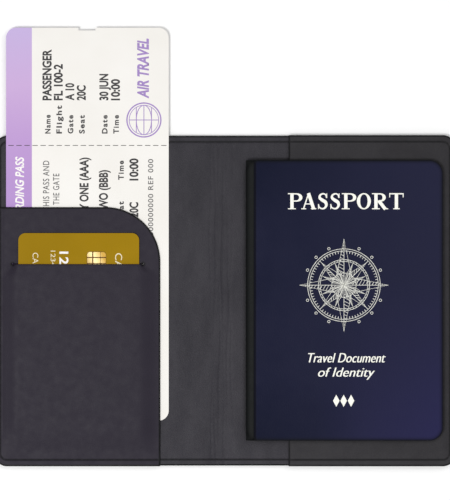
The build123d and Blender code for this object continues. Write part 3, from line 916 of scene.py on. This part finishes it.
chip_loop = outline(
    CHIP_X - CHIP_W / 2, CHIP_X + CHIP_W / 2, CHIP_Y - CHIP_H / 2, CHIP_Y + CHIP_H / 2, [1.5] * 4, 0.4
)
chip_bed = sheet(
    "chip_bed", chip_loop, level(CARD_TOP - 0.01), level(CARD_TOP - 0.12),
    [(0.0, 0.03), (0.1, 0.0)], [(0.0, 0.0), (0.1, 0.0)], 1.0, [CHIP_GAP, CHIP_GAP],
)
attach(chip_bed, "bank_card")
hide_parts("card_chip")
pads = Print(CARD_TOP + 0.015)
columns = [(-4.15, -1.95), (-1.4, 1.7), (1.9, 4.15)]
rows = [(-5.1, -2.9), (-2.4, -0.2), (0.2, 2.4), (2.9, 5.1)]
for left, right in columns:
    for low, high in rows:
        corner = 1.3 if abs(left + right) > 4 and abs(low + high) > 6 else 0.25
        radii = [0.25] * 4
        radii[(0 if left < 0 else 1) if low < 0 else (3 if left < 0 else 2)] = corner
        loop = outline(CHIP_X + left, CHIP_X + right, CHIP_Y + low, CHIP_Y + high, radii, 0.5)
        pads.shape(loop, [list(range(len(loop)))])
pads.lay("chip_pads", "bank_card", CHIP, "chip_contacts")


# ---------------- passport
def book_outline(left, within, step):
    """The passport's outline from left on, the other sides moved in by within."""
    return outline(
        left, BOOK_RIGHT - within, BOOK_LOW + within, BOOK_HIGH - within,
        (0, BOOK_CORNER - within, BOOK_CORNER - within, 0), step,
    )


def groove(x):
    """The pressed line where the cover bends at the spine."""
    return 0.10 * np.exp(-(((x - BEND_X - 0.5) / 0.45) ** 2))


front = sheet(
    "passport_front_cloth", book_outline(BEND_X - 1.5, 0.0, 1.0), lambda x, y: COVER_TOP - groove(x),
    level(COVER_TOP - COVER), COVER_ROUND, COVER_BACK, 1.6, [CLOTH, CLOTH],
    lines_x=[(BEND_X - 1, BEND_X + 3, 0.3)],
)
cut(front, BEND_X, True)
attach(front, "passport_front")
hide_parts("passport_front_cover")

back = sheet(
    "passport_back_cloth", book_outline(BEND_X - 1.5, 0.0, 1.0), level(COVER_BOTTOM + COVER),
    level(COVER_BOTTOM), COVER_BACK, COVER_ROUND, 3.0, [CLOTH, CLOTH],
)
cut(back, BEND_X, True)
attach(back, "passport")
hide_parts("passport_back_cover")


def wrap(name, start, stop):
    """Part of the cloth round the spine: an arc from start to stop degrees, with real thickness."""
    ys = np.linspace(BOOK_LOW, BOOK_HIGH, 101)
    turns = np.radians(np.linspace(start, stop, 13))
    loop_rows = []
    for shell, angles in ((0.0, turns), (SPINE, turns[::-1])):
        for a in angles:
            x = BEND_X - (SPINE_ROUND - shell) * math.cos(a)
            z = MID + (REACH - shell) * math.sin(a)
            loop_rows.append(np.column_stack([np.full(len(ys), x), ys, np.full(len(ys), z)]))
    faces, n, total = [], len(ys), len(loop_rows)
    for k in range(total):
        nxt = (k + 1) % total
        for i in range(n - 1):
            faces.append([k * n + i, nxt * n + i, nxt * n + i + 1, k * n + i + 1])
    faces.append([k * n for k in reversed(range(total))])
    faces.append([k * n + n - 1 for k in range(total)])
    return make(name, np.concatenate(loop_rows), faces, [CLOTH])


spine_top = wrap("passport_spine_cloth", 0, 90)
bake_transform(spine_top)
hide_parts("passport_spine")
spine_low = wrap("passport_spine_cloth_low", -90, 0)
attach(spine_low, "passport")

# The page block, as leaves cut a little unevenly
LEAVES, BLOCK_BOTTOM, BLOCK, LEAF_GAP = 14, 3.15, 1.5, 0.022
wobble = random.Random(7)
points, faces = [], []
for k in range(LEAVES):
    low = BLOCK_BOTTOM + k * BLOCK / LEAVES
    high = low + BLOCK / LEAVES - LEAF_GAP
    middle = (low + high) / 2
    left = BEND_X - (SPINE_ROUND - 0.4) * math.sqrt(max(0.0, 1 - ((middle - MID) / (REACH - 0.4)) ** 2))
    short, below, above = (0.4 + wobble.uniform(0, most) for most in (0.14, 0.1, 0.1))
    loop = outline(
        left, BOOK_RIGHT - short, BOOK_LOW + below, BOOK_HIGH - above, (0, BOOK_CORNER, BOOK_CORNER, 0), 6.0
    )
    n, start = len(loop), len(points)
    points += [(*p, low) for p in loop] + [(*p, high) for p in loop]
    faces.append([start + i for i in reversed(range(n))])
    faces.append([start + n + i for i in range(n)])
    faces += [[start + i, start + (i + 1) % n, start + n + (i + 1) % n, start + n + i] for i in range(n)]
leaves = make("passport_leaves", points, faces, [LEAF], smooth=False)
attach(leaves, "passport")
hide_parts("passport_page_block")

PAPER_SIDE, PLASTIC_SIDE = [(0.0, 0.02), (0.05, 0.0)], [(0.0, 0.06), (0.08, 0.0)]
for side, low in (("front", 5.1), ("back", 2.15)):
    endpaper = sheet(
        f"passport_{side}_leaf", book_outline(BEND_X - 0.6, 0.5, 2.0), level(low + 0.1), level(low),
        PAPER_SIDE, PAPER_SIDE, 6.0, [LEAF, LEAF],
    )
    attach(endpaper, "passport_front" if side == "front" else "passport")
    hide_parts(f"passport_{side}_endpaper")

data_page = sheet(
    "passport_data_leaf", book_outline(11.7, 0.4, 2.0), level(DATA_TOP), level(DATA_TOP - 0.38),
    PLASTIC_SIDE, PLASTIC_SIDE, 6.0, [DATA_PAGE, DATA_PAGE],
)
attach(data_page, "passport")
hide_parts("passport_data_page")
# A title, ruled lines, two rows of digits and an empty frame for a portrait
page_print = Print(DATA_TOP + 0.01)
page_print.words("PASSPORT", 88.0, -54.0, 26.0, 3.0, 90, MEDIUM)
for k in range(6):
    page_print.block(66.0 - 7.5 * k, 66.6 - 7.5 * k, -12.0, 18.0 + 6 * ((k * 5) % 4))
for x in (19.0, 24.5):
    page_print.words("0123456789 0123456789 0123456789", x, -54.0, 108.0, 2.6, 90, gap=1.15)
for a, b in ((-50.0, -49.4), (-18.0, -17.4)):
    page_print.block(38.0, 80.0, a, b)
for a, b in ((38.0, 38.6), (79.4, 80.0)):
    page_print.block(a, b, -50.0, -17.4)
page_print.lay("data_page_print", "passport", SOFT_INK, "data_page_plastic")

# ---------------- foil on the front cover
WIDE, THIN, SERIF = 0.205, 0.075, 0.062  # stroke widths of a capital one unit high


def curve_through(points, count):
    """A smooth line of about count points through the points."""
    p = np.array(points, float)
    p = np.vstack([2 * p[0] - p[1], p, 2 * p[-1] - p[-2]])
    out = []
    for k in range(1, len(p) - 2):
        for t in np.linspace(0, 1, count // (len(p) - 3) + 2)[: None if k == len(p) - 3 else -1]:
            a, b, c, d = p[k - 1 : k + 3]
            out.append(
                0.5 * (2 * b + (c - a) * t + (2 * a - 5 * b + 4 * c - d) * t**2 + (3 * b - a - 3 * c + d) * t**3)
            )
    return np.array(out)


def bowl(left, centre, reach):
    """The round part of a P or an R, thick where it stands upright."""
    turn = np.radians(np.linspace(90, -90, 21))
    arc = np.column_stack([centre + reach * np.cos(turn), 0.735 + 0.225 * np.sin(turn)])
    path = np.vstack([[left, 0.96], arc, [left, 0.51]])
    widths = np.concatenate([[THIN], THIN + (WIDE - THIN) * np.cos(turn) ** 2, [THIN]])
    return path, widths


def bar(x0, x1, y=0.03, width=SERIF):
    return [(x0, y), (x1, y)], width


def letter(kind):
    """A serif capital one unit high, as strokes of (path, widths)."""
    if kind in "PR":
        strokes = [bar(0.0, 0.49), bar(0.0, 0.3, 0.97), ([(0.25, 0.0), (0.25, 1.0)], WIDE)]
        strokes.append(bowl(0.25, 0.49, 0.31 if kind == "P" else 0.27))
        if kind == "R":
            strokes += [([(0.42, 0.53), (0.84, 0.0)], WIDE), bar(0.70, 1.01)]
        return strokes
    if kind == "A":
        return [
            ([(0.13, 0.0), (0.46, 1.0)], THIN), ([(0.45, 1.0), (0.78, 0.0)], WIDE), bar(0.23, 0.66, 0.33),
            bar(0.0, 0.3), bar(0.6, 0.94),
        ]
    if kind == "S":
        line = curve_through(
            [(0.56, 0.72), (0.49, 0.91), (0.33, 0.965), (0.16, 0.88), (0.13, 0.71), (0.3, 0.565),
             (0.49, 0.44), (0.54, 0.25), (0.44, 0.08), (0.28, 0.035), (0.11, 0.12), (0.05, 0.3)], 66,
        )
        along_line = np.linspace(-1, 1, len(line))
        widths = THIN + (WIDE - THIN) * np.exp(-((along_line / 0.42) ** 2))
        return [(line, widths), ([(0.57, 0.7), (0.57, 0.99)], 0.05), ([(0.05, 0.01), (0.05, 0.32)], 0.05)]
    if kind == "O":
        turn = np.arange(48) * 2 * math.pi / 48
        ring = np.column_stack([0.44 + 0.335 * np.cos(turn), 0.5 + 0.47 * np.sin(turn)])
        return [(ring, THIN + (WIDE - THIN) * np.cos(turn) ** 2)]
    # T
    return [
        ([(0.45, 0.0), (0.45, 1.0)], WIDE), bar(0.0, 0.9, 0.965, 0.075), bar(0.25, 0.65),
        ([(0.03, 0.74), (0.03, 1.0)], 0.055), ([(0.87, 0.74), (0.87, 1.0)], 0.055),
    ]


title = Print(COVER_TOP + PRINT_LIFT)
TITLE_X, TITLE_Y, TITLE_CAP = 28.1, 40.9, 7.15
for kind, start in zip("PASSPORT", (0.0, 5.95, 13.25, 18.75, 24.05, 30.75, 37.5, 45.2)):
    for path, widths in letter(kind):
        path = np.array([(px * TITLE_CAP + start + TITLE_X, py * TITLE_CAP + TITLE_Y) for px, py in path])
        title.strip(path, np.asarray(widths) * TITLE_CAP, closed=kind == "O")
# Each line is laid twice, a little apart, so its upright strokes are thicker than its level ones
for across in (-0.11, 0.11):
    title.words("Travel Document", 37.2 + across, -27.5, 34.4, 4.5, 0, -0.008, 0.3)
    title.words("of Identity", 41.6 + across, -33.85, 25.2, 4.4, 0, -0.008, 0.3)
y = -44.6
for x in (49.67, 52.97, 56.27):
    title.shape([(x, y - 2.7), (x + 1.45, y), (x, y + 2.7), (x - 1.45, y)], [[0, 1, 2, 3]])
title.lay("cover_foil_lettering", "passport_front", FOIL, "passport_cloth")

# A compass rose in rings of ticks
rose = Print(COVER_TOP + PRINT_LIFT)
ROSE = np.array([53.1, 7.0])


def polar(radius, degrees):
    angle = math.radians(degrees)
    return ROSE + radius * np.array([math.cos(angle), math.sin(angle)])


def ray(degrees, tip, waist, spread, shaded):
    """A pointed ray: an outline, with one side filled by fine lines."""
    side = polar(spread, degrees + 90) - ROSE
    end, left, right = polar(tip, degrees), polar(waist, degrees) + side, polar(waist, degrees) - side
    rose.strip([ROSE, left, end, right], 0.24, closed=True)
    rose.strip([ROSE, end], 0.24)
    for k in range(1, shaded):
        t = k / shaded
        rose.strip([left + (end - left) * t, ROSE + (end - ROSE) * (0.12 + 0.88 * t)], 0.2)


for k in range(4):
    ray(90 * k, 20.6 if k % 2 else 19.8, 4.2, 3.3, 12)
    ray(45 + 90 * k, 14.0, 4.4, 2.2, 8)
    ray(22.5 + 90 * k, 10.2, 5.0, 0.9, 0)
    ray(67.5 + 90 * k, 10.2, 5.0, 0.9, 0)
for radius, width in ((16.2, 0.26), (15.3, 0.22), (11.4, 0.24), (10.6, 0.2), (5.4, 0.24)):
    rose.ring(*ROSE, radius, radius, width, 96)
for k in range(72):
    if k % 18:
        rose.strip([polar(r, 5 * k) for r in (14.2 if k % 9 else 12.6, 15.3)], 0.24)
for k in range(48):
    if k % 6:
        rose.strip([polar(r, 7.5 * k) for r in (10.6, 11.4)], 0.2)
for k in range(16):
    if k % 4:
        rose.ring(*polar(17.6, 22.5 * k), 0.55, 0.55, 0.24, 14)
rose.lay("cover_foil_rose", "passport_front", FINE_FOIL, "passport_cloth")

# ---------------- stage, light and camera
floor_mesh = bpy.data.meshes.new("floor")
FLOOR_Z = -0.0002
floor_mesh.from_pydata([(x, y, FLOOR_Z) for x, y in ((-3, -3), (3, -3), (3, 3), (-3, 3))], [], [(0, 1, 2, 3)])
floor = bpy.data.objects.new("floor", floor_mesh)
floor_mesh.materials.append(Nodes("floor", (0.96, 0.96, 0.96), 0.9, Specular_IOR_Level=0.1).material)
scene.collection.objects.link(floor)

world = bpy.data.worlds.new("studio")
world.use_nodes = True
sky = world.node_tree.nodes["Background"].inputs
sky["Color"].default_value, sky["Strength"].default_value = (1, 1, 1, 1), 0.5
scene.world = world


def softbox(name, place, size, power):
    light = bpy.data.lights.new(name, "AREA")
    light.size, light.energy = size, power
    holder = bpy.data.objects.new(name, light)
    holder.location = place
    holder.rotation_euler = (-Vector(place)).to_track_quat("-Z", "Y").to_euler()
    scene.collection.objects.link(holder)


softbox("key", (-0.34, -0.24, 0.95), 0.28, 5.5)
softbox("fill", (0.6, 0.45, 0.85), 0.9, 3.2)

camera = bpy.data.objects.new("camera", bpy.data.cameras.new("camera"))
camera.data.lens, camera.data.sensor_width = 200, 36
camera.location = (0, 22.7 * MM, 1.2455)
camera.data.clip_start, camera.data.clip_end = 0.05, 20
scene.collection.objects.link(camera)
scene.camera = camera
scene.view_settings.view_transform = "Standard"
